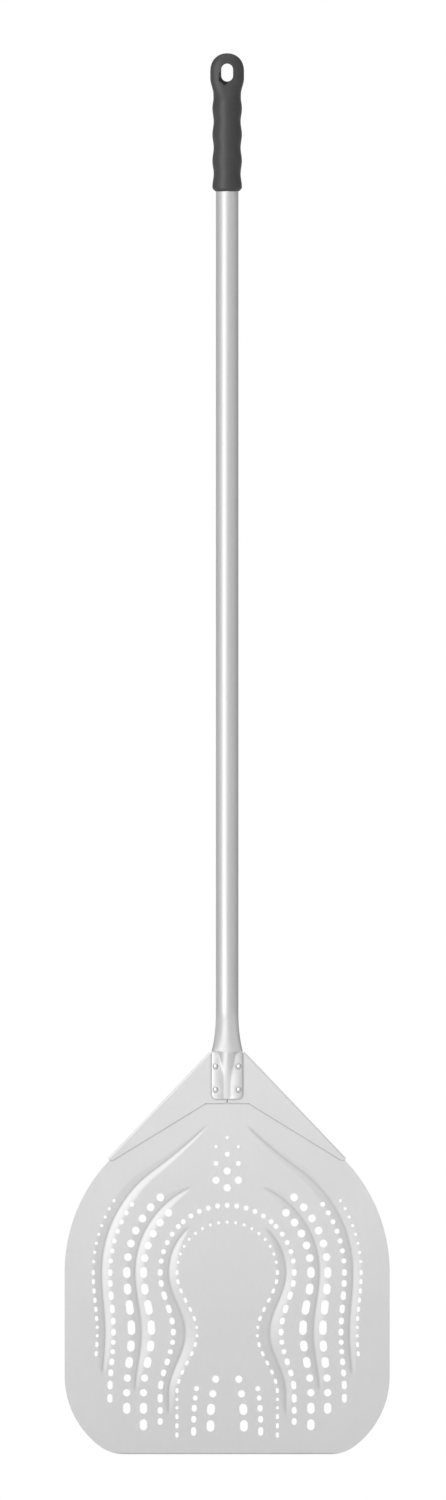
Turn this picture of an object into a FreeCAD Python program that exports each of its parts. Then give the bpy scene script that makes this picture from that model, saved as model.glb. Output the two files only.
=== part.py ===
"""Perforated aluminium pizza peel with a riveted tube handle and a moulded grip.

Millimetres. The peel stands on its front edge: +Z runs from that edge up the handle, +X runs across
the blade and -Y points out of the food side. The origin is the middle of the blade's front edge,
halfway through the sheet.
"""

import FreeCAD
import Part
import math
import os

Vector = FreeCAD.Vector

# Blade
BLADE_WIDTH = 360.0
SHEET = 1.5
HEAD_CENTRE = 201.5
TOP_EDGE = 445.5
CORNER_RADIUS = 97.0
CORNER_CENTRE = 86.5
FRONT_CORNER_RADIUS = 45.0

# Shoulders, folded over onto the food side
SHOULDER_REACH = 182.5
SHOULDER_ANGLE = 43.7
HEM_GAP = 0.2
FLAP_EDGE = 388.6
FLAP_KNEE = 24.0
FLAP_TIP = (127.5, 325.0)
FLAP_SPLIT = 1.1
TOP_CORNER_RADIUS = 3.3
HEM_END_RADIUS = 2.0

# Perforations: flow lines are one pitch apart, round above the head's centre and waisted below it
PITCH = 18.55
WAIST_HEIGHT = 134.3
WAIST_REACH = 66.5
WAIST_DRAW = 3.77
WAIST_SPREAD = 1.05
WAIST_SPREAD_LINE = 7.2
ROUND, SHORT, LONG = 0, 1, 2
SMALL = {"width": 3.6, "length": (3.6, 5.8, 5.8), "room": (9.3, 10.2, 10.2)}
MEDIUM = {"width": 5.65, "length": (5.65, 7.65, 9.7), "room": (10.4, 12.2, 14.7)}
LARGE = {"width": 8.2, "length": (8.2, 12.2, 16.2), "room": (16.2, 18.3, 22.4)}
BROAD = {"width": 8.7, "length": (8.0, 12.5, 16.5), "room": (16.2, 18.3, 22.4)}
HEAD_ROUND = 8.7
SLOT_ORDER = (SHORT, SHORT, LONG, LONG, SHORT, SHORT, ROUND, ROUND)
# line: size, slots below the centre, then round holes above it, their first angle and their step
SIDE_LINES = {
    8: (SMALL, 10, 8, 4.6, 3.96),
    7: (MEDIUM, 12, 7, 5.6, 4.98),
    6: (LARGE, 9, 6, 8.75, 7.9),
    5: (LARGE, 10, 5, 9.8, 8.9),
    4: (MEDIUM, 14, 5, 9.6, 8.39),
    3: (SMALL, 19, 0, 0.0, 0.0),
}
# line: size, round holes over the crown and their step in degrees
CROWN_LINES = {4: (MEDIUM, 11, 8.19), 3: (SMALL, 17, 9.81)}
# line: size, height of the lowest slot, and the slots from there up
FRONT_LINES = {
    2: (MEDIUM, 25.3, (LONG, SHORT, SHORT, ROUND, ROUND)),
    1: (BROAD, 31.4, (SHORT, SHORT, ROUND, ROUND)),
}
FRONT_LINE_BEND = 32.8
FRONT_LINE_LEAN = 0.00255
FRONT_LINE_EASE = 0.00028
CLUSTER_TOP = 350.8
CLUSTER_SIZES = (SMALL, SMALL, MEDIUM, MEDIUM, LARGE, LARGE, LARGE)
CLUSTER_SIDE_DROP = 0.9

# Stiffening grooves, pressed into the food side between the flow lines
GROOVE_DEPTH = 1.8
GROOVE_ROUNDING = 1.4
GROOVE_SWEEP = 79.0
GROOVE_SWEEP_RADIUS = 520.0
GROOVE_END_TAPER = 30.0
GROOVE_END_POWER = 0.7
GROOVE_END_DEPTH = 0.3
GROOVE_END_WIDTH = 0.4
GROOVE_SWEEP_STEPS = 6
GROOVE_HEAD_STEPS = 9
GROOVE_SIDE_STEPS = 12
GROOVE_OVERRUN = 0.4
RIDGE_OVERLAP = 0.6
# place between the lines: top angle, lowest height, clearance to the lines, free run past the top
GROOVES = {
    3.5: (52.0, 43.0, 3.4, 0.0),
    5.5: (68.7, 69.0, 4.8, 0.0),
    7.5: (54.2, 87.0, 3.1, GROOVE_SWEEP),
}

# Handle tube and its pressed foot
TUBE_RADIUS = 12.5
TUBE_WALL = 1.5
TUBE_TOP = 1500.0
SOCKET_CLEARANCE = 0.1
FLARE_TOP = 492.0
FLARE_END = 446.5
FLARE_POWER = 2.4
FOOT_BOTTOM = 393.5
FOOT_HALF_WIDTH = 17.2
FOOT_CORNER_RADIUS = 5.0
LUG_THICKNESS = 3.2
LUG_TOP = 441.5
LUG_TOP_RISE = 4.5
RIDGE_END = 404.0
RIDGE_FALL = 1.6
RIDGE_HALF_WIDTH = 5.6
RIDGE_SPREAD = 4.1
RIDGE_SPREAD_POWER = 1.8
CREST_POWER = 0.5
RIDGE_CREST_POWER = 0.8
ROUND_POWER = 2.0
FLAT_POWER = 10.0
SECTION_POINTS = 64
FLARE_STEP = 6.0
FLARE_STEPS = 7
FOOT_HEIGHTS = (451.5, 449.0, 447.0, 445.0, 443.0, 441.0, 438.0, 434.0, 429.0, 424.0, 418.0)
LOW_FOOT_HEIGHTS = (411.0, 405.0, 400.5, 397.5, 395.5, 394.3, FOOT_BOTTOM)
# The hollow as it narrows: height, half width, half depth, and distance in front of the flaps
HOLLOW = (
    (500.0, 10.6, 10.5, 12.5),
    (486.0, 10.7, 10.2, 12.2),
    (472.0, 11.3, 8.8, 11.3),
    (456.0, 11.6, 6.3, 9.0),
    (442.0, 7.0, 3.9, 6.2),
    (428.0, 5.0, 2.0, 4.4),
)

# Rivets
RIVET_PITCH = 25.6
RIVET_ROW_HEIGHTS = (403.6, 429.4)
RIVET_SHANK = 4.0
RIVET_BORE = 4.2
RIVET_HEAD = 6.2
RIVET_HEAD_HEIGHT = 1.9
RIVET_TAIL = 5.8
RIVET_TAIL_HEIGHT = 1.3

# Grip
GRIP_BOTTOM = 1398.8
GRIP_TOP = 1552.0
GRIP_HALF_THICKNESS = 14.6
EYE_HALF_THICKNESS = 10.5
EYE_HALF_WIDTH = 18.75
EYE_CENTRE = 1531.0
EYE_TOP_POWER = 2.3
EYE_TOP_ROOT = 2.1
EYE_CROWN_POWER = 5.0
NECK_HALF_WIDTH = 15.3
NECK_START = 1496.0
NECK_RUN = 10.0
EYE_START = 1506.0
EYE_RUN = 18.0
THINNING_START = 1496.0
THINNING_RUN = 20.0
WAVE_MEAN = 15.7
WAVE_DEPTH = 0.72
WAVE_PITCH = 28.9
WAVE_PEAK = 1403.8
LIP_HEIGHT = 4.6
LIP_POWER = 1.5
LIP_INSET = 2.9
LIP_THINNING = 1.7
LIP_SECTIONS = (0.0, 0.08, 0.25, 0.5, 0.8, 1.1)
GRIP_STEP = 3.6
GRIP_STEPS = 35
CROWN_SECTIONS = (0.2, 0.4, 0.6, 0.75, 0.87, 0.95, 0.99)
HANG_SLOT_WIDTH = 13.0
HANG_SLOT_LENGTH = 19.8
HANG_SLOT_CENTRE = 1530.4
HANG_BEVEL_SIDE = 2.6
HANG_BEVEL_DROP = 4.6
HANG_BEVEL_DEPTH = 9.0
HANG_BEVEL_TOP_CUT = 6.0
HANG_BEVEL_LOW_CUT = 5.0

# Layers, from the back of the blade out over its food side
SHEET_BACK = SHEET / 2
SHEET_FRONT = -SHEET / 2
FLAP_BACK = SHEET_FRONT - HEM_GAP
FLAP_FRONT = FLAP_BACK - SHEET
TUBE_AXIS = FLAP_FRONT - TUBE_RADIUS
FOLD_RADIUS = (2 * SHEET + HEM_GAP) / 2
CUT_REACH = 12.0


def mirrored(shape):
    """The shape's twin on the other side of the middle plane."""
    return shape.mirror(Vector(0, 0, 0), Vector(1, 0, 0))


def prism(edges, y_from, y_to):
    """Extrudes a closed outline, drawn in the plane y = 0, through the thickness."""
    face = Part.Face(Part.Wire(Part.__sortEdges__(edges)))
    face.translate(Vector(0, y_from, 0))
    return face.extrude(Vector(0, y_to - y_from, 0))


def polygon(points):
    """Edges of the closed polygon through (x, z) points."""
    corners = [Vector(x, 0, z) for x, z in points]
    return [Part.makeLine(a, b) for a, b in zip(corners, corners[1:] + corners[:1])]


def round_corner(solid, x, z, radius):
    """Rounds the upright edges at (x, z) and (-x, z) of a prism."""
    chosen = []
    for edge in solid.Edges:
        a, b = edge.firstVertex().Point, edge.lastVertex().Point
        upright = abs(a.x - b.x) < 1e-6 and abs(a.z - b.z) < 1e-6
        if upright and abs(abs(a.x) - x) < 0.01 and abs(a.z - z) < 0.01:
            chosen.append(edge)
    return solid.makeFillet(radius, chosen)


# ---------------------------------------------------------------- blade outline

ACROSS = Vector(math.cos(math.radians(SHOULDER_ANGLE)), 0, math.sin(math.radians(SHOULDER_ANGLE)))
HEAD = Vector(0, 0, HEAD_CENTRE)
FOLD_REACH = SHOULDER_REACH - FOLD_RADIUS


def shoulder_top(reach):
    """Where the shoulder line at a distance from the head's centre meets the top edge."""
    return (reach - (TOP_EDGE - HEAD_CENTRE) * ACROSS.z) / ACROSS.x


def outline(reach):
    """Blade outline with its shoulders at a distance from the centre of the round head."""
    half = BLADE_WIDTH / 2
    corner = Vector(half - CORNER_RADIUS, 0, CORNER_CENTRE)
    front = corner.x + math.sqrt(CORNER_RADIUS**2 - CORNER_CENTRE**2)
    low, high = math.atan2(-CORNER_CENTRE, front - corner.x), math.radians(SHOULDER_ANGLE)
    middle = corner + Vector(math.cos(low / 2), 0, math.sin(low / 2)) * CORNER_RADIUS
    head_middle = HEAD + Vector(math.cos(high / 2), 0, math.sin(high / 2)) * half
    step, shoulder = HEAD + ACROSS * half, HEAD + ACROSS * reach
    top = Vector(shoulder_top(reach), 0, TOP_EDGE)
    right = [
        Part.makeLine(Vector(0, 0, 0), Vector(front, 0, 0)),
        Part.Arc(Vector(front, 0, 0), middle, Vector(half, 0, CORNER_CENTRE)).toShape(),
        Part.makeLine(Vector(half, 0, CORNER_CENTRE), Vector(half, 0, HEAD_CENTRE)),
        Part.Arc(Vector(half, 0, HEAD_CENTRE), head_middle, step).toShape(),
        Part.makeLine(step, shoulder),
        Part.makeLine(shoulder, top),
        Part.makeLine(top, Vector(0, 0, TOP_EDGE)),
    ]
    return right + [mirrored(edge) for edge in right], front, shoulder


def silhouette():
    """The whole blade seen from the front, with its corners rounded, as a thick block."""
    edges, front, shoulder = outline(SHOULDER_REACH)
    block = prism(edges, -CUT_REACH, CUT_REACH)
    block = round_corner(block, front, 0, FRONT_CORNER_RADIUS)
    block = round_corner(block, shoulder.x, shoulder.z, HEM_END_RADIUS)
    return round_corner(block, shoulder_top(SHOULDER_REACH), TOP_EDGE, TOP_CORNER_RADIUS)


def flap():
    """The folded-over layer on one shoulder."""
    end = HEAD + ACROSS * FOLD_REACH
    points = [
        (FLAP_SPLIT / 2, TOP_EDGE),
        (shoulder_top(FOLD_REACH), TOP_EDGE),
        (end.x, end.z),
        FLAP_TIP,
        (FLAP_KNEE, FLAP_EDGE),
        (FLAP_SPLIT / 2, FLAP_EDGE),
    ]
    return prism(polygon(points), FLAP_BACK, FLAP_FRONT)


def fold():
    """The rounded bend that joins a flap to the sheet behind it."""
    start = HEAD + ACROSS * FOLD_REACH
    along = Vector(-ACROSS.z, 0, ACROSS.x)
    length = (TOP_EDGE - start.z) / along.z + 2 * FOLD_RADIUS
    middle = Vector(start.x, (SHEET_BACK + FLAP_FRONT) / 2, start.z)
    bend = Part.makeCylinder(FOLD_RADIUS, length, middle, along)
    bend = bend.cut(Part.makeCylinder(HEM_GAP / 2, length, middle, along))
    block = 4 * FOLD_RADIUS
    inner = Part.makeBox(block, block, length)
    inner.translate(Vector(-block, -block / 2, 0))
    turn = FreeCAD.Rotation(ACROSS, Vector(0, 1, 0), along, "XYZ")
    inner.Placement = FreeCAD.Placement(middle, turn).multiply(inner.Placement)
    return bend.cut(inner)


# ---------------------------------------------------------------- perforations


def waist(line):
    """How far a flow line is drawn in at the blade's waist."""
    return WAIST_DRAW + WAIST_SPREAD * (line - WAIST_SPREAD_LINE) ** 2


def line_offset(line, height):
    """Distance of a flow line from the middle, at a height below the head's centre."""
    if line < 3:
        bend = max(height - FRONT_LINE_BEND, 0)
        return line * PITCH - (FRONT_LINE_LEAN - FRONT_LINE_EASE * line) * bend**2
    t = (height - WAIST_HEIGHT) / WAIST_REACH
    bell = 0.5 * (1 + math.cos(math.pi * t)) if abs(t) < 1 else 0.0
    return line * PITCH - waist(line) * bell


def line_slope(line, height):
    """Sideways run of a flow line per unit of height."""
    return line_offset(line, height + 0.5) - line_offset(line, height - 0.5)


def on_circle(line, angle):
    """Point of a flow line above the head's centre, at an angle in degrees."""
    radius = line * PITCH
    turn = math.radians(angle)
    return radius * math.cos(turn), HEAD_CENTRE + radius * math.sin(turn)


def round_hole(x, z, diameter):
    """Cutter for one round hole."""
    return Part.makeCylinder(diameter / 2, 2 * CUT_REACH, Vector(x, -CUT_REACH, z), Vector(0, 1, 0))


def slot(width, length, y_reach):
    """Cutter for an upright slot with round ends, about the origin."""
    half, run = width / 2, (length - width) / 2
    a, b, c, d = (Vector(sx * half, 0, sz * run) for sx, sz in ((1, -1), (1, 1), (-1, 1), (-1, -1)))
    edges = [
        Part.makeLine(a, b),
        Part.Arc(b, Vector(0, 0, run + half), c).toShape(),
        Part.makeLine(c, d),
        Part.Arc(d, Vector(0, 0, -run - half), a).toShape(),
    ]
    return prism(edges, -y_reach, y_reach)


def hole(x, z, size, kind, slope=0.0):
    """Cutter for one hole, with its length along a flow line of a given slope."""
    if kind == ROUND:
        return round_hole(x, z, size["length"][ROUND])
    cutter = slot(size["width"], size["length"][kind], CUT_REACH)
    cutter.rotate(Vector(0, 0, 0), Vector(0, 1, 0), math.degrees(math.atan(slope)))
    cutter.translate(Vector(x, 0, z))
    return cutter


def slots_along(line, size, height, kinds, direction):
    """A run of slots that follows a flow line up (1) or down (-1) from a height."""
    cutters = []
    for place, kind in enumerate(kinds):
        if place:
            height += direction * (size["room"][kinds[place - 1]] + size["room"][kind]) / 2
        slope = line_slope(line, height)
        cutters.append(hole(line_offset(line, height), height, size, kind, slope))
    return cutters


def side_holes():
    """Every hole to the right of the middle."""
    cutters = []
    for line, (size, slots, rounds, first, step) in SIDE_LINES.items():
        kinds = [SLOT_ORDER[place % len(SLOT_ORDER)] for place in range(slots)]
        cutters += slots_along(line, size, HEAD_CENTRE - 0.2, kinds, -1)
        diameter = HEAD_ROUND if size is LARGE else size["width"]
        for place in range(rounds):
            x, z = on_circle(line, first + step * place)
            cutters.append(round_hole(x, z, diameter))
    for line, (size, count, step) in CROWN_LINES.items():
        for place in range(1, count // 2 + 1):
            x, z = on_circle(line, 90 - step * place)
            cutters.append(hole(x, z, size, ROUND))
    for line, (size, height, kinds) in FRONT_LINES.items():
        cutters += slots_along(line, size, height, kinds, 1)
    for row in (1, 3, 5):
        z = CLUSTER_TOP - CLUSTER_SIDE_DROP - row * PITCH / 2
        cutters.append(hole(PITCH * 2 / 3, z, CLUSTER_SIZES[row], ROUND))
    return cutters


def middle_holes():
    """Every hole on the middle line."""
    heights = [HEAD_CENTRE + line * PITCH for line in CROWN_LINES]
    sizes = [CROWN_LINES[line][0] for line in CROWN_LINES]
    heights += [CLUSTER_TOP - row * PITCH / 2 for row in (0, 2, 4, 6)]
    sizes += [CLUSTER_SIZES[row] for row in (0, 2, 4, 6)]
    return [hole(0, z, size, ROUND) for z, size in zip(heights, sizes)]


# ---------------------------------------------------------------- grooves


def groove_path(place):
    """Points (x, z), half widths and depths along a groove, from its top end to its lowest end."""
    top_angle, lowest, clearance, sweep = GROOVES[place]
    points = []
    if sweep:
        x, z = on_circle(place, top_angle)
        start = math.radians(90 - top_angle)
        for i in range(GROOVE_SWEEP_STEPS, 0, -1):
            run = sweep * i / GROOVE_SWEEP_STEPS
            turn = start + run / GROOVE_SWEEP_RADIUS / 2
            points.append((x - run * math.cos(turn), z + run * math.sin(turn), 1.0))
    for i in range(GROOVE_HEAD_STEPS):
        x, z = on_circle(place, top_angle * (1 - i / GROOVE_HEAD_STEPS))
        points.append((x, z, 1.0))
    for i in range(GROOVE_SIDE_STEPS + 1):
        z = HEAD_CENTRE - (HEAD_CENTRE - lowest) * i / GROOVE_SIDE_STEPS
        near, far = math.floor(place), math.ceil(place)
        gap = (line_offset(far, z) - line_offset(near, z)) / PITCH
        gap *= math.cos(math.atan(line_slope(place, z)))
        points.append((line_offset(place, z), z, gap))
    return points, clearance


def channel(place, level, lid):
    """A groove as a solid body: its floor lies below a level, its open side ends above that level."""
    path, clearance = groove_path(place)
    run = [0.0]
    for (xa, za, _), (xb, zb, _) in zip(path, path[1:]):
        run.append(run[-1] + math.hypot(xb - xa, zb - za))
    wires = []
    for i, (x, z, gap) in enumerate(path):
        before, after = path[max(i - 1, 0)], path[min(i + 1, len(path) - 1)]
        along = Vector(after[0] - before[0], 0, after[1] - before[1]).normalize()
        side = Vector(along.z, 0, -along.x)
        end = min(run[i], run[-1] - run[i]) / GROOVE_END_TAPER
        grown = min(end, 1.0) ** GROOVE_END_POWER
        depth = GROOVE_DEPTH * (GROOVE_END_DEPTH + (1 - GROOVE_END_DEPTH) * grown)
        half = (PITCH * gap / 2 - clearance) * (GROOVE_END_WIDTH + (1 - GROOVE_END_WIDTH) * grown)
        middle = Vector(x, level, z)
        wires.append(channel_section(middle, side, half, depth, lid))
    return Part.makeLoft(wires, True, False)


def channel_section(middle, side, half, depth, lid):
    """Closed V section with a rounded floor; the flanks run on above the level by the lid."""
    slope = depth / half
    rise = lid / slope
    flat = GROOVE_ROUNDING
    down = Vector(0, 1, 0)
    a = middle - side * (half + rise) - down * lid
    b = middle - side * flat + down * (depth - flat * slope)
    c = middle + down * (depth - flat * slope / 2)
    d = middle + side * flat + down * (depth - flat * slope)
    e = middle + side * (half + rise) - down * lid
    edges = [Part.makeLine(a, b), Part.Arc(b, c, d).toShape(), Part.makeLine(d, e), Part.makeLine(e, a)]
    return Part.Wire(edges)


# ---------------------------------------------------------------- blade


def rivet_places():
    """Places (x, z) of the rivets."""
    return [(side * RIVET_PITCH / 2, z) for z in RIVET_ROW_HEIGHTS for side in (-1, 1)]


def rivet_bores():
    """Cutters for the rivet shanks, through every layer."""
    return [round_hole(x, z, RIVET_BORE) for x, z in rivet_places()]


def blade():
    """One sheet with folded shoulders, pressed grooves and perforations."""
    sheet = prism(outline(FOLD_REACH)[0], SHEET_FRONT, SHEET_BACK)
    one_side = [flap(), fold()]
    ridges = [channel(place, SHEET_BACK, RIDGE_OVERLAP) for place in GROOVES]
    channels = [channel(place, SHEET_FRONT, GROOVE_OVERRUN) for place in GROOVES]
    side = side_holes()
    body = sheet.fuse(one_side + [mirrored(s) for s in one_side] + ridges + [mirrored(s) for s in ridges])
    body = body.common(silhouette()).removeSplitter()
    body = body.cut(channels + [mirrored(s) for s in channels])
    body = body.cut(side + [mirrored(s) for s in side] + middle_holes() + rivet_bores())
    return body


# ---------------------------------------------------------------- handle tube


def ease(t):
    """Smooth step from 0 to 1."""
    t = min(max(t, 0.0), 1.0)
    return t * t * (3 - 2 * t)


def blend(start, end, t):
    """Eases from one value to another."""
    return start + (end - start) * ease(t)


def foot_half_width(z):
    """Half width of the tube and of its flared, pressed foot."""
    t = (FLARE_TOP - z) / (FLARE_TOP - FLARE_END)
    width = TUBE_RADIUS + (FOOT_HALF_WIDTH - TUBE_RADIUS) * min(max(t, 0.0), 1.0) ** FLARE_POWER
    corner = FOOT_BOTTOM + FOOT_CORNER_RADIUS - z
    if corner > 0:
        width += math.sqrt(max(FOOT_CORNER_RADIUS**2 - corner**2, 0)) - FOOT_CORNER_RADIUS
    return width


def ridge_half_width(z):
    """Half width of the raised middle: the whole flare at first, then the ridge between the lugs."""
    if z >= LUG_TOP + LUG_TOP_RISE:
        return foot_half_width(z)
    down = min((z - FOOT_BOTTOM) / (LUG_TOP - FOOT_BOTTOM), 1.0)
    width = RIDGE_HALF_WIDTH + RIDGE_SPREAD * down**RIDGE_SPREAD_POWER
    if z > LUG_TOP:
        t = (z - LUG_TOP) / LUG_TOP_RISE
        width += (foot_half_width(z) - width) * (1 - math.sqrt(1 - t * t))
    return width


def ridge_height(z):
    """Height of the raised middle over the flaps."""
    rise = ease((z - RIDGE_END) / (FLARE_TOP - RIDGE_END)) ** RIDGE_FALL
    return LUG_THICKNESS + (2 * TUBE_RADIUS - LUG_THICKNESS) * rise


def foot_section(z):
    """Closed curve around the tube at a height; the back stays in the plane of the flaps."""
    half = foot_half_width(z)
    ridge = ridge_half_width(z)
    flat = ease((FLARE_TOP - z) / (FLARE_TOP - FLARE_END))
    edge = TUBE_RADIUS + (LUG_THICKNESS / 2 - TUBE_RADIUS) * flat
    crest = ridge_height(z)
    power = ROUND_POWER + (FLAT_POWER - ROUND_POWER) * flat**2
    swell = blend(CREST_POWER, RIDGE_CREST_POWER, (LUG_TOP + LUG_TOP_RISE - z) / LUG_TOP_RISE)
    points = []
    for i in range(SECTION_POINTS):
        turn = 2 * math.pi * i / SECTION_POINTS
        x = half * math.cos(turn)
        u = min(abs(x) / half, 1.0)
        rim = (1 - u**power) ** (1 / power)
        if turn > math.pi:
            depth = edge * (1 - rim)
        else:
            lug = edge + (LUG_THICKNESS - edge) * rim if edge < LUG_THICKNESS else 0.0
            across = max(1 - (x / ridge) ** 2, 0.0)
            depth = max(edge + (crest - edge) * across**swell, lug)
        points.append(Vector(x, FLAP_FRONT - depth, z))
    curve = Part.BSplineCurve()
    curve.interpolate(points, PeriodicFlag=True)
    return Part.Wire(curve.toShape())


def bore_section(z, half_width, depth, middle):
    """Oval section of the hollow inside the foot, at a distance in front of the flaps."""
    return Part.Wire(Part.Ellipse(Vector(0, FLAP_FRONT - middle, z), half_width, depth).toShape())


def handle_tube():
    """Round tube whose lower end is flared and pressed into two lugs beside a fading ridge."""
    heights = [FLARE_TOP - FLARE_STEP * i for i in range(FLARE_STEPS)]
    heights += [*FOOT_HEIGHTS, *LOW_FOOT_HEIGHTS]
    foot = Part.makeLoft([foot_section(z) for z in heights], True, False)
    straight = Part.Face(foot_section(FLARE_TOP)).extrude(Vector(0, 0, TUBE_TOP - FLARE_TOP))
    inner = TUBE_RADIUS - TUBE_WALL
    bore = Part.makeCylinder(inner, TUBE_TOP - FLARE_TOP + 1, Vector(0, TUBE_AXIS, FLARE_TOP))
    hollow = Part.makeLoft([bore_section(*section) for section in HOLLOW], True, False)
    return straight.fuse(foot).cut([bore, hollow] + rivet_bores())


# ---------------------------------------------------------------- rivets


def dome(radius, height, y, direction):
    """Low round head that stands on the plane at y."""
    sphere_radius = (radius**2 + height**2) / (2 * height)
    ball = Part.makeSphere(sphere_radius, Vector(0, y + direction * (height - sphere_radius), 0))
    low, high = sorted((y, y + direction * height * 2))
    keep = Part.makeBox(4 * radius, high - low, 4 * radius, Vector(-2 * radius, low, -2 * radius))
    return ball.common(keep)


def rivet():
    """Round-headed rivet with its tail closed behind the blade."""
    head_plane = FLAP_FRONT - LUG_THICKNESS
    length = SHEET_BACK - head_plane
    shank = Part.makeCylinder(RIVET_SHANK / 2, length, Vector(0, head_plane, 0), Vector(0, 1, 0))
    head = dome(RIVET_HEAD / 2, RIVET_HEAD_HEIGHT, head_plane, -1)
    tail = dome(RIVET_TAIL / 2, RIVET_TAIL_HEIGHT, SHEET_BACK, 1)
    return shank.fuse([head, tail]).removeSplitter()


def rivets():
    """The four rivets, as separate solids."""
    placed = []
    for x, z in rivet_places():
        one = rivet()
        one.translate(Vector(x, 0, z))
        placed.append(one)
    return Part.makeCompound(placed)


# ---------------------------------------------------------------- grip


def lip_share(z):
    """How far the rounded lower lip is drawn in, from 1 at the mouth to 0 above the lip."""
    return (1 - min((z - GRIP_BOTTOM) / LIP_HEIGHT, 1.0)) ** LIP_POWER


def grip_half_width(z):
    """Half width of the grip: finger waves, a neck, and the round eye on top."""
    wave = WAVE_MEAN + WAVE_DEPTH * math.cos(2 * math.pi * (z - WAVE_PEAK) / WAVE_PITCH)
    eye = blend(NECK_HALF_WIDTH, EYE_HALF_WIDTH, (z - EYE_START) / EYE_RUN)
    width = blend(wave, eye, (z - NECK_START) / NECK_RUN)
    if z > EYE_CENTRE:
        t = (z - EYE_CENTRE) / (GRIP_TOP - EYE_CENTRE)
        width *= (1 - t**EYE_TOP_POWER) ** (1 / EYE_TOP_ROOT)
    return width - LIP_INSET * lip_share(z)


def grip_half_thickness(z):
    """Half thickness of the grip: round along the body, flatter at the eye."""
    thickness = blend(GRIP_HALF_THICKNESS, EYE_HALF_THICKNESS, (z - THINNING_START) / THINNING_RUN)
    if z > EYE_CENTRE:
        t = (z - EYE_CENTRE) / (GRIP_TOP - EYE_CENTRE)
        thickness *= math.sqrt(1 - t**EYE_CROWN_POWER)
    return thickness - LIP_THINNING * lip_share(z)


def grip_section(z):
    """Oval around the grip at a height."""
    oval = Part.Ellipse(Vector(0, TUBE_AXIS, z), grip_half_width(z), grip_half_thickness(z))
    return Part.Wire(oval.toShape())


def hang_slot():
    """Cutter for the through slot in the eye."""
    cutter = slot(HANG_SLOT_WIDTH, HANG_SLOT_LENGTH, 2 * GRIP_HALF_THICKNESS)
    cutter.translate(Vector(0, TUBE_AXIS, HANG_SLOT_CENTRE))
    return cutter


def hang_bevel():
    """Slanting recess on the food side, with a pointed lower end."""
    half, top = HANG_SLOT_WIDTH / 2, HANG_SLOT_LENGTH / 2
    high, low = top - HANG_BEVEL_TOP_CUT, HANG_BEVEL_LOW_CUT - top
    shape = [(half, high), (0, top), (-half, high), (-half, low), (0, -top), (half, low)]
    front = TUBE_AXIS - EYE_HALF_THICKNESS
    wires = []
    for y, share in ((front - 1.0, 1.0 + 1.0 / HANG_BEVEL_DEPTH), (front + HANG_BEVEL_DEPTH, 0.0)):
        shift_x, shift_z = -HANG_BEVEL_SIDE * share, -HANG_BEVEL_DROP * share
        corners = [Vector(x + shift_x, y, z + shift_z + HANG_SLOT_CENTRE) for x, z in shape]
        wires.append(Part.makePolygon(corners + corners[:1]))
    return Part.makeLoft(wires, True, True)


def grip():
    """Moulded grip, bored for the tube and open at the eye."""
    heights = [GRIP_BOTTOM + LIP_HEIGHT * t for t in LIP_SECTIONS]
    heights += [GRIP_BOTTOM + LIP_HEIGHT + GRIP_STEP * i for i in range(1, GRIP_STEPS + 1)]
    heights += [EYE_CENTRE + (GRIP_TOP - EYE_CENTRE) * t for t in CROWN_SECTIONS]
    body = Part.makeLoft([grip_section(z) for z in heights], True, False)
    mouth = Vector(0, TUBE_AXIS, GRIP_BOTTOM - LIP_HEIGHT)
    socket = Part.makeCylinder(TUBE_RADIUS + SOCKET_CLEARANCE, TUBE_TOP - mouth.z, mouth)
    return body.cut([socket, hang_slot(), hang_bevel()])


def main():
    """Writes one file per node."""
    os.makedirs("parts", exist_ok=True)
    nodes = {"blade": blade, "handle_tube": handle_tube, "grip": grip, "rivets": rivets}
    for name, build in nodes.items():
        shape = build()
        box = shape.BoundBox
        print(name, len(shape.Solids), shape.isValid(), round(shape.Volume), box)
        shape.exportStep("parts/" + name + ".step")


main()
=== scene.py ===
"""Studio scene of a perforated pizza peel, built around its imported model.

Shapes are worked out in millimetres and written to the meshes in metres. The peel stands on the
front edge of its blade: +Z runs up the handle, +X across the blade, -Y out of the food side.
"""
import math

import bpy
import numpy as np
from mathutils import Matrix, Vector
from mathutils.geometry import delaunay_2d_cdt


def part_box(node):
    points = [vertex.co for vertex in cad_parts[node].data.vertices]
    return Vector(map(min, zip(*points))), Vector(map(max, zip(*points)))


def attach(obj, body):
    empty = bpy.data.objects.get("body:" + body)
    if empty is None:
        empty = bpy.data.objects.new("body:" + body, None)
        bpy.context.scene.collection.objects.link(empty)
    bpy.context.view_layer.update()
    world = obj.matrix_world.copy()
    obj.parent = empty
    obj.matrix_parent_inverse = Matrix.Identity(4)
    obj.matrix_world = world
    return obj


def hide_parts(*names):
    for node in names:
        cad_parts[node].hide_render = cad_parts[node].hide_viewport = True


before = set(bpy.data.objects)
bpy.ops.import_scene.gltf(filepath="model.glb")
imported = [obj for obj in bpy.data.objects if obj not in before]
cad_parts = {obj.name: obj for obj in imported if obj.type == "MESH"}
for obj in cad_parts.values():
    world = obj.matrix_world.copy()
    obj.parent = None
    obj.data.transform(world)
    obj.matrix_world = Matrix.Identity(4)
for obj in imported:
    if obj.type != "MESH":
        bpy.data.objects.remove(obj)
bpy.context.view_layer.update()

MM = 0.001


def box_mm(node):
    """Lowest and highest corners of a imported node, in millimetres."""
    low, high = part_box(node)
    return low / MM, high / MM


blade_low, blade_high = box_mm("blade")
tube_low, tube_high = box_mm("handle_tube")
grip_low, grip_high = box_mm("grip")

# Blade
HALF_WIDTH = blade_high.x
TOP_EDGE = blade_high.z
SHEET = 1.5
SHEET_BACK = SHEET / 2
SHEET_FRONT = -SHEET / 2
HEAD_CENTRE = 201.5
CORNER_RADIUS = 97.0
CORNER_CENTRE = 86.5
FRONT_CORNER_RADIUS = 45.0
EDGE_BREAK = 0.2

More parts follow.
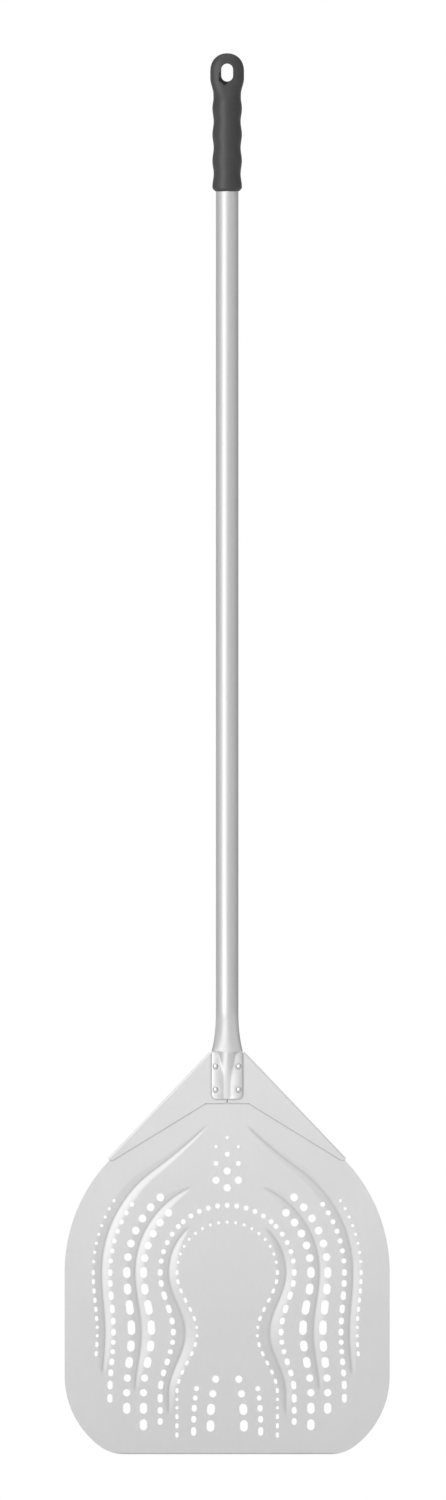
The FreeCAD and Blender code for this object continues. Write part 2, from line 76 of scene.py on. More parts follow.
# Shoulders, folded over onto the food side
SHOULDER_REACH = 182.5
SHOULDER_ANGLE = math.radians(43.7)
HEM_GAP = 0.2
FLAP_EDGE = 388.6
FLAP_KNEE = 24.0
FLAP_KNEE_RADIUS = 1.5
FLAP_TIP = (127.5, 325.0)
FLAP_TIP_RADIUS = 1.2
FLAP_SPLIT = 1.1
TOP_CORNER_CUT = 1.4
BEND_MIDDLE = (SHEET + HEM_GAP) / 2
BEND_LENGTH = math.pi * BEND_MIDDLE
FOLD_REACH = SHOULDER_REACH - BEND_MIDDLE - SHEET / 2
FLAP_FRONT = SHEET_FRONT - HEM_GAP - SHEET
BEND_REACHES = [FOLD_REACH + BEND_LENGTH * i / 8 for i in range(9)]
FLAT_MARGIN = 0.4

# Perforations: flow lines are one pitch apart, round above the head's centre and waisted below it
PITCH = 18.55
WAIST_HEIGHT = 134.3
WAIST_REACH = 66.5
WAIST_LEAST = 3.77
WAIST_GROWTH = 1.05
WAIST_LEAST_LINE = 7.2
ROUND, SHORT, LONG = 0, 1, 2
SMALL = {"width": 3.6, "length": (3.6, 5.8, 5.8), "room": (9.3, 10.2, 10.2)}
MEDIUM = {"width": 5.65, "length": (5.65, 7.65, 9.7), "room": (10.4, 12.2, 14.7)}
LARGE = {"width": 8.2, "length": (8.2, 12.2, 16.2), "room": (16.2, 18.3, 22.4)}
BROAD = {"width": 8.7, "length": (8.0, 12.5, 16.5), "room": (16.2, 18.3, 22.4)}
HEAD_ROUND = 8.7
SLOT_ORDER = (SHORT, SHORT, LONG, LONG, SHORT, SHORT, ROUND, ROUND)
# line: size, slots below the centre, then round holes above it, their first angle and their step
SIDE_LINES = {
    8: (SMALL, 10, 8, 4.6, 3.96),
    7: (MEDIUM, 12, 7, 5.6, 4.98),
    6: (LARGE, 9, 6, 8.75, 7.9),
    5: (LARGE, 10, 5, 9.8, 8.9),
    4: (MEDIUM, 14, 5, 9.6, 8.39),
    3: (SMALL, 19, 0, 0.0, 0.0),
}
# line: size, round holes over the crown and their step in degrees
CROWN_LINES = {4: (MEDIUM, 11, 8.19), 3: (SMALL, 17, 9.81)}
# line: size, height of the lowest slot, and the slots from there up
FRONT_LINES = {
    2: (MEDIUM, 25.3, (LONG, SHORT, SHORT, ROUND, ROUND)),
    1: (BROAD, 31.4, (SHORT, SHORT, ROUND, ROUND)),
}
FRONT_LINE_BEND = 32.8
FRONT_LINE_CURL = 0.00255
FRONT_LINE_CURL_LOSS = 0.00028
FIRST_SLOT_DROP = 0.2
CLUSTER_TOP = 350.8
CLUSTER_SIDE = PITCH * 2 / 3
CLUSTER_SIZES = (SMALL, SMALL, MEDIUM, MEDIUM, LARGE, LARGE, LARGE)
CLUSTER_SIDE_DROP = 0.9

# Grooves pressed into the food side
GROOVE_DEPTH = 1.9
GROOVE_SWEEP = 79.0
GROOVE_SWEEP_RADIUS = 520.0
GROOVE_HALF_SHARE = 0.475
GROOVE_OPENING_RUN = 45.0
GROOVE_START_WIDTH = 0.18
GROOVE_START_DEPTH = 0.22
GROOVE_END_WIDTH = 0.3
GROOVE_END_DEPTH = 0.1
GROOVE_END_POWER = 0.8
GROOVE_FADE_IN = 12.0
GROOVE_FADE_OUT = 6.0
FLANK_POWER = 1.25
VALLEY_SOFTNESS = 0.06
# The reach, full depth and strength below set the painted shade along the groove valleys.
CREASE_REACH = 2.2
CREASE_FULL_DEPTH = 0.4
VALLEY_PAINTED_SHADE = 0.2
# place between the lines: top angle, lowest height, free run past the top
GROOVES = {
    3.5: (52.0, 43.0, 0.0),
    5.5: (68.7, 69.0, 0.0),
    7.5: (54.2, 87.0, GROOVE_SWEEP),
}

# Handle tube and its pressed foot
TUBE_RADIUS = 12.5
TUBE_AXIS = FLAP_FRONT - TUBE_RADIUS
TUBE_TOP = tube_high.z
FLARE_TOP = 492.0
FLARE_END = 446.5
FLARE_POWER = 2.4
FOOT_BOTTOM = tube_low.z
FOOT_HALF_WIDTH = 17.2
FOOT_CORNER_RADIUS = 5.0
FOOT_SQUARENESS = 4.5
LUG_THICKNESS = 3.2
LUG_CROWN = 0.6
LUG_CROWN_PLACE = 0.72
LUG_CROWN_REACH = 0.5
LUG_FLAT = LUG_THICKNESS - LUG_CROWN
LUG_TOP = 441.5
LUG_TOP_RISE = 4.5
LUG_TOP_END = LUG_TOP + LUG_TOP_RISE
RIDGE_END = 404.0
RIDGE_RISE_POWER = 1.6
RIDGE_HALF_WIDTH = 5.6
RIDGE_WIDENING = 4.1
RIDGE_WIDENING_POWER = 1.8
RIDGE_BLEND = 0.4
CREST_POWER = 0.5
CREST_POWER_GAIN = 0.3
SLIT_INSET = 1.6
SLIT_SHARE = 0.12
SLIT_DEPTH = 4.0
RIVET_PLACES = [(side * 12.8, z) for z in (403.6, 429.4) for side in (-1, 1)]
RIVET_HEAD_RADIUS = 3.1
RIVET_TAIL_RADIUS = 2.9
RIVET_SHANK_RADIUS = 2.0
RIVET_TIP_RADIUS = 0.05
RIVET_SINK = 0.5
DIMPLE_SPREAD = 14.0
DIMPLE_SHARE = 0.8

# Grip
GRIP_BOTTOM = grip_low.z
GRIP_TOP = grip_high.z
GRIP_HALF_THICKNESS = 14.6
EYE_HALF_THICKNESS = 10.5
EYE_HALF_WIDTH = 18.75
EYE_START = 1506.0
EYE_RUN = 18.0
EYE_CENTRE = 1531.0
NECK_HALF_WIDTH = 15.3
NECK_START = 1496.0
NECK_RUN = 10.0
THINNING_RUN = 20.0
BODY_SQUARENESS = 2.1
EYE_SQUARENESS = 3.0
SQUARE_START = 1502.0
SQUARE_RUN = 16.0
LIP_HEIGHT = 4.0
LIP_POWER = 1.5
LIP_INSET = 2.9
LIP_THINNING = 1.7
WAVE_MEAN = 15.7
WAVE_DEPTH = 0.72
WAVE_PITCH = 28.9
WAVE_PEAK = 1403.8
HANG_SLOT_WIDTH = 13.0
HANG_SLOT_LENGTH = 19.8
HANG_SLOT_CENTRE = 1530.4
HANG_BEVEL_SIDE = 2.6
HANG_BEVEL_DROP = 4.6
HANG_BEVEL_DEPTH = 9.0
BORE_CLEARANCE = 0.25
GRIP_VOXEL = 0.35

# Light. Surround brightness by azimuth in degrees: 0 faces the food side, left is negative
SURROUND = (
    (-180, 0.50), (-120, 0.50), (-90, 0.62), (-72, 0.85), (-50, 1.15), (-26, 1.28), (-10, 1.15),
    (0, 0.92), (12, 0.78), (26, 0.76), (40, 0.69), (60, 0.58), (90, 0.50), (120, 0.47), (180, 0.50),
)
SURROUND_STRENGTH = 0.84
ZENITH_START = 0.5
ZENITH_GAIN = 1.0
# name: place, aim, size in metres, power in watts, and the nodes whose pieces it lights
LAMPS = {
    "blade_panel": ((-0.74, -0.52, 0.35), (0, 0, 0.35), (0.9, 0.66), 0.42, ("blade",)),
    "handle_strip": ((-0.75, -1.3, 0.95), (0, 0, 0.95), (0.9, 2.4), 5.2, ("handle_tube", "rivets")),
    "grip_strip": ((-0.75, -1.3, 1.3), (0, 0, 1.45), (0.8, 1.8), 12.0, ("grip",)),
    "foot_strip": ((-0.20, -0.55, 0.28), (0, 0, 0.28), (0.35, 0.54), 0.15, ("handle_tube", "rivets")),
    "flare_glow": ((-0.15, -0.33, 0.03), (0, 0, 0.47), (0.4, 0.4), 0.4, ("handle_tube",)),
}
CAMERA_PLACE = (-0.0046, -3.0, 0.780)
CAMERA_SCALE = 1.6615


# ---------------------------------------------------------------- helpers


def ease(t):
    """Smooth step from 0 to 1."""
    t = min(max(t, 0.0), 1.0)
    return t * t * (3 - 2 * t)


def make_object(name, points, faces, materials):
    """A smooth-shaded piece from points in millimetres."""
    mesh = bpy.data.meshes.new(name)
    mesh.from_pydata([tuple(float(c) * MM for c in p) for p in points], [], faces)
    mesh.update(calc_edges=True)
    mesh.polygons.foreach_set("use_smooth", [True] * len(mesh.polygons))
    for material in materials:
        mesh.materials.append(material)
    piece = bpy.data.objects.new(name, mesh)
    bpy.context.scene.collection.objects.link(piece)
    return piece


def mark_sharp(mesh, pairs):
    """Marks the edges between pairs of vertices as sharp."""
    wanted = {(min(a, b), max(a, b)) for a, b in pairs}
    sharp = mesh.attributes.get("sharp_edge")
    sharp = sharp or mesh.attributes.new("sharp_edge", "BOOLEAN", "EDGE")
    flags = [tuple(sorted(edge.vertices)) in wanted for edge in mesh.edges]
    sharp.data.foreach_set("value", flags)


def loop_pairs(start, count):
    """Vertex pairs round a closed ring that starts at an index."""
    return [(start + i, start + (i + 1) % count) for i in range(count)]


def ring_faces(rows, count):
    """Faces of a closed tube through rows of points, capped at both ends."""
    faces, last = [], (rows - 1) * count
    for a in range(0, last, count):
        b = a + count
        faces += [(a + i, a + (i + 1) % count, b + (i + 1) % count, b + i) for i in range(count)]
    return faces + [tuple(range(count))[::-1], tuple(range(last, last + count))]


def loft(rings, name, material):
    """Closed tube through rings of equal length."""
    points = [p for ring in rings for p in ring]
    return make_object(name, points, ring_faces(len(rings), len(rings[0])), [material])


# ---------------------------------------------------------------- blade: the sheet laid flat

ACROSS = (math.cos(SHOULDER_ANGLE), math.sin(SHOULDER_ANGLE))


def to_shoulder(x, z):
    """Distance out from the head's centre towards the shoulder, and run along the shoulder."""
    rise = z - HEAD_CENTRE
    return x * ACROSS[0] + rise * ACROSS[1], rise * ACROSS[0] - x * ACROSS[1]


def from_shoulder(reach, run):
    """The point (x, z) at a distance out and a run along the right shoulder."""
    return reach * ACROSS[0] - run * ACROSS[1], HEAD_CENTRE + reach * ACROSS[1] + run * ACROSS[0]


def unfolded(x, z):
    """Where a point of the right flap lies before the shoulder is folded."""
    reach, run = to_shoulder(x, z)
    return from_shoulder(2 * FOLD_REACH - reach + BEND_LENGTH, run)


def line_points(a, b, spacing):
    """Points from a up to but without b, about one spacing apart."""
    count = max(1, round(math.dist(a, b) / spacing))
    wide, high = b[0] - a[0], b[1] - a[1]
    return [(a[0] + wide * i / count, a[1] + high * i / count) for i in range(count)]


def arc_points(centre, radius, start, end, spacing):
    """Points along an arc, without its end."""
    count = max(2, round(abs(end - start) * radius / spacing))
    angles = [start + (end - start) * i / count for i in range(count)]
    return [(centre[0] + radius * math.cos(a), centre[1] + radius * math.sin(a)) for a in angles]


def rounded(before, corner, after, radius, steps=5):
    """Points of an arc that rounds a corner."""
    a, b, c = (np.array(p, float) for p in (before, corner, after))
    back, on = (a - b) / np.linalg.norm(a - b), (c - b) / np.linalg.norm(c - b)
    half = math.acos(float(np.clip(back @ on, -1, 1))) / 2
    start, end = b + back * radius / math.tan(half), b + on * radius / math.tan(half)
    centre = b + (back + on) / np.linalg.norm(back + on) * radius / math.sin(half)
    points = []
    for i in range(steps + 1):
        mix = (start - centre) * (1 - i / steps) + (end - centre) * i / steps
        points.append(tuple(centre + mix / np.linalg.norm(mix) * radius))
    return points


def flat_outline():
    """The right half of the sheet's outline before folding, from the front edge to the top."""
    corner = (HALF_WIDTH - CORNER_RADIUS, CORNER_CENTRE)
    inner = CORNER_RADIUS - FRONT_CORNER_RADIUS
    front = corner[0] + math.sqrt(inner**2 - (CORNER_CENTRE - FRONT_CORNER_RADIUS) ** 2)
    turn = math.atan2(FRONT_CORNER_RADIUS - CORNER_CENTRE, front - corner[0])
    points = line_points((0, 0), (front, 0), 8)
    points += arc_points((front, FRONT_CORNER_RADIUS), FRONT_CORNER_RADIUS, -math.pi / 2, turn, 1.5)
    points += arc_points(corner, CORNER_RADIUS, turn, 0, 3)
    points += line_points((HALF_WIDTH, CORNER_CENTRE), (HALF_WIDTH, HEAD_CENTRE), 8)
    points += arc_points((0, HEAD_CENTRE), HALF_WIDTH, 0, SHOULDER_ANGLE, 3)
    points.append(from_shoulder(HALF_WIDTH, 0))
    points += [from_shoulder(reach, 0) for reach in BEND_REACHES]
    end_out = from_shoulder(BEND_REACHES[-1], 0)
    tip, knee = unfolded(*FLAP_TIP), unfolded(FLAP_KNEE, FLAP_EDGE)
    inner_low, inner_top = unfolded(FLAP_SPLIT / 2, FLAP_EDGE), unfolded(FLAP_SPLIT / 2, TOP_EDGE)
    turned = rounded(end_out, tip, knee, FLAP_TIP_RADIUS)
    points += turned
    knee_turn = rounded(tip, knee, inner_low, FLAP_KNEE_RADIUS)
    points += line_points(turned[-1], knee_turn[0], 8)[1:]
    points += knee_turn
    points += line_points(knee_turn[-1], inner_low, 6)[1:]
    points += line_points(inner_low, inner_top, 6)
    top_end = unfolded(top_x(), TOP_EDGE)
    points += line_points(inner_top, top_end, 6)
    points.append(top_end)
    points += [from_shoulder(reach, shoulder_cut()) for reach in reversed(BEND_REACHES)]
    points.append((top_x(), TOP_EDGE))
    points += line_points((top_x(), TOP_EDGE), (0, TOP_EDGE), 6)[1:]
    return points


def top_x():
    """Half width of the top edge, short of its rounded corner."""
    return (FOLD_REACH - (TOP_EDGE - HEAD_CENTRE) * ACROSS[1]) / ACROSS[0] - TOP_CORNER_CUT


def shoulder_cut():
    """Run along the shoulder at which the fold ends below the top corner."""
    return (TOP_EDGE - HEAD_CENTRE - FOLD_REACH * ACROSS[1]) / ACROSS[0] - TOP_CORNER_CUT


def inset(loop, distance):
    """A counter-clockwise loop moved inwards by a distance."""
    p = np.array(loop, float)
    ahead = np.roll(p, -1, axis=0) - p
    ahead /= np.linalg.norm(ahead, axis=1)[:, None]
    behind = np.roll(ahead, 1, axis=0)
    normal = np.stack([-(ahead + behind)[:, 1], (ahead + behind)[:, 0]], 1)
    normal /= np.maximum(np.linalg.norm(normal, axis=1), 1e-9)[:, None]
    cosine = np.clip(normal[:, 0] * -ahead[:, 1] + normal[:, 1] * ahead[:, 0], 0.5, 1)
    return p + normal * (distance / cosine)[:, None]


# ---------------------------------------------------------------- blade: perforations


def waist(line):
    """How far a flow line is drawn in at the blade's waist."""
    return WAIST_LEAST + WAIST_GROWTH * (line - WAIST_LEAST_LINE) ** 2


def line_offset(line, height):
    """Distance of a flow line from the middle, at a height below the head's centre."""
    if line < 3:
        bend = max(height - FRONT_LINE_BEND, 0)
        return line * PITCH - (FRONT_LINE_CURL - FRONT_LINE_CURL_LOSS * line) * bend**2
    t = (height - WAIST_HEIGHT) / WAIST_REACH
    bell = 0.5 * (1 + math.cos(math.pi * t)) if abs(t) < 1 else 0.0
    return line * PITCH - waist(line) * bell


def line_slope(line, height):
    """Sideways run of a flow line per unit of height."""
    return line_offset(line, height + 0.5) - line_offset(line, height - 0.5)


def on_circle(line, angle):
    """Point of a flow line above the head's centre, at an angle in degrees."""
    turn = math.radians(angle)
    return line * PITCH * math.cos(turn), HEAD_CENTRE + line * PITCH * math.sin(turn)


def slots_along(line, size, height, kinds, direction):
    """Holes (x, z, width, length, slope) that follow a flow line up (1) or down (-1) from a height."""
    holes = []
    for place, kind in enumerate(kinds):
        if place:
            height += direction * (size["room"][kinds[place - 1]] + size["room"][kind]) / 2
        x, slope, length = line_offset(line, height), line_slope(line, height), size["length"][kind]
        holes.append((x, height, min(size["width"], length), length, slope))
    return holes


def round_hole(point, diameter):
    """A round hole at a point (x, z)."""
    return (*point, diameter, diameter, 0.0)


def perforations():
    """Every hole of the blade as (x, z, width, length, slope)."""
    right = []
    for line, (size, slots, rounds, first, step) in SIDE_LINES.items():
        kinds = [SLOT_ORDER[place % len(SLOT_ORDER)] for place in range(slots)]
        right += slots_along(line, size, HEAD_CENTRE - FIRST_SLOT_DROP, kinds, -1)
        diameter = HEAD_ROUND if size is LARGE else size["width"]
        right += [round_hole(on_circle(line, first + step * i), diameter) for i in range(rounds)]
    for line, (size, count, step) in CROWN_LINES.items():
        turns = [90 - step * i for i in range(1, count // 2 + 1)]
        right += [round_hole(on_circle(line, turn), size["width"]) for turn in turns]
    for line, (size, height, kinds) in FRONT_LINES.items():
        right += slots_along(line, size, height, kinds, 1)
    for row in (1, 3, 5):
        z = CLUSTER_TOP - CLUSTER_SIDE_DROP - row * PITCH / 2
        right.append(round_hole((CLUSTER_SIDE, z), CLUSTER_SIZES[row]["width"]))
    middle = []
    for line, (size, _, _) in CROWN_LINES.items():
        middle.append(round_hole((0, HEAD_CENTRE + line * PITCH), size["width"]))
    for row in (0, 2, 4, 6):
        middle.append(round_hole((0, CLUSTER_TOP - row * PITCH / 2), CLUSTER_SIZES[row]["width"]))
    left = [(-x, z, width, length, -slope) for x, z, width, length, slope in right]
    return right + left + middle


def hole_loop(hole, grow, steps=12):
    """Counter-clockwise outline of a hole, grown by a distance."""
    x, z, width, length, slope = hole
    half, run = width / 2 + grow, (length - width) / 2
    tilt = math.atan(slope)
    points = []
    for end in (1, -1):
        for i in range(steps + (1 if run else 0)):
            turn = math.pi * i / steps + (0 if end > 0 else math.pi)
            along, side = run * end + half * math.sin(turn), half * math.cos(turn)
            points.append((
                x + side * math.cos(tilt) + along * math.sin(tilt),
                z - side * math.sin(tilt) + along * math.cos(tilt),
            ))
    return points


# ---------------------------------------------------------------- blade: grooves


def rising(least, share):
    """Rises from a least value to 1 as the share goes from 0 to 1."""
    return least + (1 - least) * share


def groove_path(place, spacing=1.5):
    """Points down the middle of a groove, from its top end, with its half width and depth there."""
    top_angle, lowest, sweep = GROOVES[place]
    x, z = on_circle(place, top_angle)
    points, gaps = [], []
    steps = max(1, round(sweep / spacing))
    for i in range(steps, 0, -1):
        run = sweep * i / steps
        turn = math.radians(90 - top_angle) + run / GROOVE_SWEEP_RADIUS / 2
        if sweep:
            points.append((x - run * math.cos(turn), z + run * math.sin(turn)))
            gaps.append(PITCH)
    steps = round(math.radians(top_angle) * place * PITCH / spacing)
    for i in range(steps):
        points.append(on_circle(place, top_angle * (1 - i / steps)))
        gaps.append(PITCH)
    steps = round((HEAD_CENTRE - lowest) / spacing)
    for i in range(steps + 1):
        height = HEAD_CENTRE - (HEAD_CENTRE - lowest) * i / steps
        near, far = math.floor(place), math.ceil(place)
        gap = line_offset(far, height) - line_offset(near, height)
        points.append((line_offset(place, height), height))
        gaps.append(gap * math.cos(math.atan(line_slope(place, height))))
    points = np.array(points)
    run = np.concatenate([[0], np.cumsum(np.linalg.norm(np.diff(points, axis=0), axis=1))])
    left = run[-1] - run
    start = np.minimum(run / (sweep + GROOVE_OPENING_RUN), 1.0)
    end = np.minimum(left / GROOVE_OPENING_RUN, 1.0)
    width = rising(GROOVE_START_WIDTH, start) * rising(GROOVE_END_WIDTH, end**GROOVE_END_POWER)
    fade = np.array([ease(r / GROOVE_FADE_IN) for r in run]) * np.minimum(left / GROOVE_FADE_OUT, 1.0)
    depth = GROOVE_DEPTH * rising(GROOVE_START_DEPTH, start) * rising(GROOVE_END_DEPTH, end) * fade
    return points, np.array(gaps) * GROOVE_HALF_SHARE * width, depth


def tangents(points):
    """Unit directions along a line of points."""
    step = np.gradient(points, axis=0)
    return step / np.linalg.norm(step, axis=1)[:, None]


GROOVE_PATHS = [groove_path(place) for place in GROOVES]
GROOVE_TANGENTS = [tangents(path[0]) for path in GROOVE_PATHS]


def groove_shape(x, z):
    """How far the sheet is pressed back at points (x, z), and how near they lie to a valley, which
    sets the painted shade along the valleys.
    """
    spot, margin = np.stack([np.abs(x), z], 1), PITCH
    total, valley_shade_mask = np.zeros(len(spot)), np.zeros(len(spot))
    for (path, half, depth), along in zip(GROOVE_PATHS, GROOVE_TANGENTS):
        near = np.where((spot > path.min(0) - margin).all(1))[0]
        for part in np.array_split(near, max(1, len(near) // 4000)):
            gap = spot[part][:, None, :] - path[None, :, :]
            nearest = np.argmin((gap**2).sum(2), 1)
            offset = gap[np.arange(len(part)), nearest]
            t = along[nearest]
            side = np.abs(offset[:, 0] * t[:, 1] - offset[:, 1] * t[:, 0])
            beyond = (nearest == 0) | (nearest == len(path) - 1)
            side = np.where(beyond, np.hypot(offset[:, 0], offset[:, 1]), side)
            share = np.sqrt((side / half[nearest]) ** 2 + VALLEY_SOFTNESS**2) - VALLEY_SOFTNESS
            pressed = depth[nearest] * np.clip(1 - share, 0, None) ** FLANK_POWER
            total[part] = np.maximum(total[part], pressed)
            line = np.clip(1 - side / CREASE_REACH, 0, 1)
            line *= np.minimum(depth[nearest] / CREASE_FULL_DEPTH, 1)
            valley_shade_mask[part] = np.maximum(valley_shade_mask[part], line)
    return total, valley_shade_mask


def groove_points():
    """Mesh points across and along every groove, on the right of the middle."""
    shares = [0, 0.1, 0.25, 0.45, 0.65, 0.85, 1.0, 1.2]
    points = []
    for (path, half, _), along in zip(GROOVE_PATHS, GROOVE_TANGENTS):
        for i in range(0, len(path), 2):
            normal = np.array([along[i, 1], -along[i, 0]])
            for share in shares:
                points.append(path[i] + normal * share * half[i])
                if share:
                    points.append(path[i] - normal * share * half[i])
    return np.array(points)


# ---------------------------------------------------------------- blade: mesh


def fold_sheet(x, z, t):
    """Points of the finished blade from places on the flat sheet and a distance t through it.

    t runs from minus half the sheet on the food side to plus half on the back.
    """
    sign, ax = np.where(x < 0, -1.0, 1.0), np.abs(x)
    reach, run = to_shoulder(ax, z)
    past = reach - FOLD_REACH
    turn = np.clip(past, 0, BEND_LENGTH) / BEND_MIDDLE
    radius = BEND_MIDDLE + t
    folded = FOLD_REACH + radius * np.sin(turn) - np.clip(past - BEND_LENGTH, 0, None)
    bent_x, bent_z = from_shoulder(folded, run)
    bent_y = (SHEET_BACK + FLAP_FRONT) / 2 + radius * np.cos(turn)
    flat = past <= 0
    px, pz = np.where(flat, ax, bent_x), np.where(flat, z, bent_z)
    py = np.where(flat, t + groove_shape(ax, z)[0], bent_y)
    return np.stack([px * sign, py, pz], 1)


def sheet_normals(x, z, t):
    """Outward normals of the face at a distance t through the sheet."""
    step = 0.15
    dx = fold_sheet(x + step, z, t) - fold_sheet(x - step, z, t)
    dz = fold_sheet(x, z + step, t) - fold_sheet(x, z - step, t)
    normal = np.cross(dx, dz)
    normal /= np.linalg.norm(normal, axis=1)[:, None]
    return normal * (1.0 if t < 0 else -1.0)


def clear_of(points, loops, distance):
    """Keeps the points that lie further than a distance from every loop's centre line."""
    keep = np.ones(len(points), bool)
    for loop in loops:
        centre = loop.mean(0)
        reach = np.linalg.norm(loop - centre, axis=1).max() + distance
        near = np.where(keep & (np.linalg.norm(points - centre, axis=1) < reach))[0]
        if len(near):
            gap = np.linalg.norm(points[near][:, None] - loop[None], axis=2).min(1)
            keep[near[(gap < distance) | inside(points[near], loop)]] = False
    return points[keep]


def inside(points, loop):
    """Which points lie inside a convex counter-clockwise loop."""
    ahead = np.roll(loop, -1, axis=0) - loop
    gap = points[:, None] - loop[None]
    return (ahead[None, :, 0] * gap[:, :, 1] - ahead[None, :, 1] * gap[:, :, 0] > 0).all(1)


def blade_mesh():
    """The whole sheet: front and back skins, bent shoulders, hole walls and broken edges."""
    right = flat_outline()
    left = [(-x, z) for x, z in reversed(right[1:])]
    outline = np.array(right + [(0.0, TOP_EDGE)] + left)
    rims = [np.array(hole_loop(hole, 0)) for hole in perforations()]
    skins = [inset(outline, EDGE_BREAK)]
    skins += [np.array(hole_loop(hole, EDGE_BREAK)) for hole in perforations()]
    loose = groove_points()
    loose = np.concatenate([loose, loose * (-1, 1)])
    loose = clear_of(loose, skins[1:], 0.7)
    bend_lines = []
    for reach in [FOLD_REACH - FLAT_MARGIN, *BEND_REACHES, BEND_REACHES[-1] + FLAT_MARGIN]:
        low, high = from_shoulder(reach, 2.5), from_shoulder(reach, shoulder_cut() - 2.5)
        bend_lines.append(np.array(line_points(low, high, 6) + [high]))
    bend_lines += [line * (-1, 1) for line in bend_lines]
    coords, edges, ranges = [], [], []
    for loop in skins:
        start = len(coords)
        coords += [Vector(p) for p in loop.tolist()]
        edges += loop_pairs(start, len(loop))
        ranges.append((start, len(loop)))
    for line in bend_lines:
        start = len(coords)
        coords += [Vector(p) for p in line.tolist()]
        edges += [(start + i, start + i + 1) for i in range(len(line) - 1)]
    coords += [Vector(p) for p in loose.tolist()]
    verts, _, faces, origins, _, _ = delaunay_2d_cdt(coords, edges, [], 1, 1e-5)
    new_index = {}
    for index, sources in enumerate(origins):
        for source in sources:
            new_index[source] = index
    flat = np.array([tuple(v) for v in verts])
    owner = np.full(len(flat), -1)
    for number, (start, count) in enumerate(ranges):
        for i in range(count):
            owner[new_index[start + i]] = number
    skin = []
    for face in faces:
        a, b, c = face
        same = owner[a] == owner[b] == owner[c]
        if same and owner[a] > 0:
            continue
        area = np.cross(flat[b] - flat[a], flat[c] - flat[a])
        skin.append((a, b, c) if area > 0 else (a, c, b))
    half, count = SHEET / 2, len(flat)
    front = fold_sheet(flat[:, 0], flat[:, 1], -half)
    back = fold_sheet(flat[:, 0], flat[:, 1], half)
    points = [front, back]
    polygons = [tuple(f) for f in skin] + [tuple(v + count for v in reversed(f)) for f in skin]
    kinds = [0] * len(polygons)
    sharp, base = [], 2 * count
    for number, (start, size) in enumerate(ranges):
        true_loop = outline if number == 0 else rims[number - 1]
        ring = [new_index[start + i] for i in range(size)]
        wall = half - EDGE_BREAK
        points += [fold_sheet(true_loop[:, 0], true_loop[:, 1], t) for t in (-wall, wall)]
        walls = [list(range(base + size * row, base + size * (row + 1))) for row in (0, 1)]
        rows = [ring, *walls, [v + count for v in ring]]
        base += 2 * size
        for upper, lower in zip(rows, rows[1:]):
            for i in range(size):
                j = (i + 1) % size
                quad = (upper[i], upper[j], lower[j], lower[i])
                polygons.append(quad[::-1] if number == 0 else quad)
                kinds.append(1)
        for row in rows:
            sharp += [(row[i], row[(i + 1) % size]) for i in range(size)]
    normals = np.concatenate([
        sheet_normals(flat[:, 0], flat[:, 1], -half),
        sheet_normals(flat[:, 0], flat[:, 1], half),
    ])
    return np.concatenate(points), polygons, kinds, sharp, normals, len(skin) * 2, flat


def build_blade(materials):
    """The blade as one piece with its own normals on both skins."""
    points, polygons, kinds, sharp, normals, skins, flat = blade_mesh()
    piece = make_object("blade_sheet", points, polygons, materials)
    mesh = piece.data
    mesh.polygons.foreach_set("material_index", kinds)
    mark_sharp(mesh, sharp)
    # Closeness to the groove valleys, carried to the material for the painted shade along them.
    valley_shade_mask = np.zeros(len(mesh.vertices))
    valley_shade_mask[:len(flat)] = groove_shape(flat[:, 0], flat[:, 1])[1]
    mesh.attributes.new("painted_valley_shade", "FLOAT", "POINT").data.foreach_set("value", valley_shade_mask)
    loops = np.zeros((len(mesh.loops), 3))
    corner = np.zeros(len(mesh.loops), int)
    mesh.loops.foreach_get("vertex_index", corner)
    skin_loops = skins * 3
    loops[:skin_loops] = normals[corner[:skin_loops]]
    mesh.normals_split_custom_set(loops.tolist())
    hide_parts("blade")
    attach(piece, "root")
    return piece


# ---------------------------------------------------------------- handle tube


def foot_half_width(z):
    """Half width of the tube and of its flared, pressed foot."""
    t = (FLARE_TOP - z) / (FLARE_TOP - FLARE_END)
    width = TUBE_RADIUS + (FOOT_HALF_WIDTH - TUBE_RADIUS) * min(max(t, 0.0), 1.0) ** FLARE_POWER
    corner = FOOT_BOTTOM + FOOT_CORNER_RADIUS - z
    if corner > 0:
        width += math.sqrt(max(FOOT_CORNER_RADIUS**2 - corner**2, 0)) - FOOT_CORNER_RADIUS
    return width


def ridge_half_width(z):
    """Half width of the raised middle: the whole flare at first, then the ridge between the lugs."""
    if z >= LUG_TOP_END:
        return foot_half_width(z)
    share = min((z - FOOT_BOTTOM) / (LUG_TOP - FOOT_BOTTOM), 1.0)
    width = RIDGE_HALF_WIDTH + RIDGE_WIDENING * share**RIDGE_WIDENING_POWER
    if z > LUG_TOP:
        t = (z - LUG_TOP) / LUG_TOP_RISE
        width += (foot_half_width(z) - width) * (1 - math.sqrt(1 - t * t))
    return width


def ridge_height(z):
    """Height of the raised middle over the flaps."""
    rise = ease((z - RIDGE_END) / (FLARE_TOP - RIDGE_END)) ** RIDGE_RISE_POWER
    return LUG_FLAT + (2 * TUBE_RADIUS - LUG_FLAT) * rise


def soft_max(a, b, width):
    """The larger of two heights, blended over a width."""
    return 0.5 * (a + b + math.sqrt((a - b) ** 2 + width**2))


def lug_height(x, z, half):
    """Front of a pressed lug: slightly crowned, and drawn down round the rivets."""
    crown = LUG_CROWN * (1 - min(abs(abs(x) / half - LUG_CROWN_PLACE) / LUG_CROWN_REACH, 1.0) ** 2)
    gaps = [(x - rx) ** 2 + (z - rz) ** 2 for rx, rz in RIVET_PLACES]
    dimple = sum(math.exp(-gap / DIMPLE_SPREAD) for gap in gaps)
    return LUG_FLAT + crown * (1 - DIMPLE_SHARE * min(dimple, 1.0))


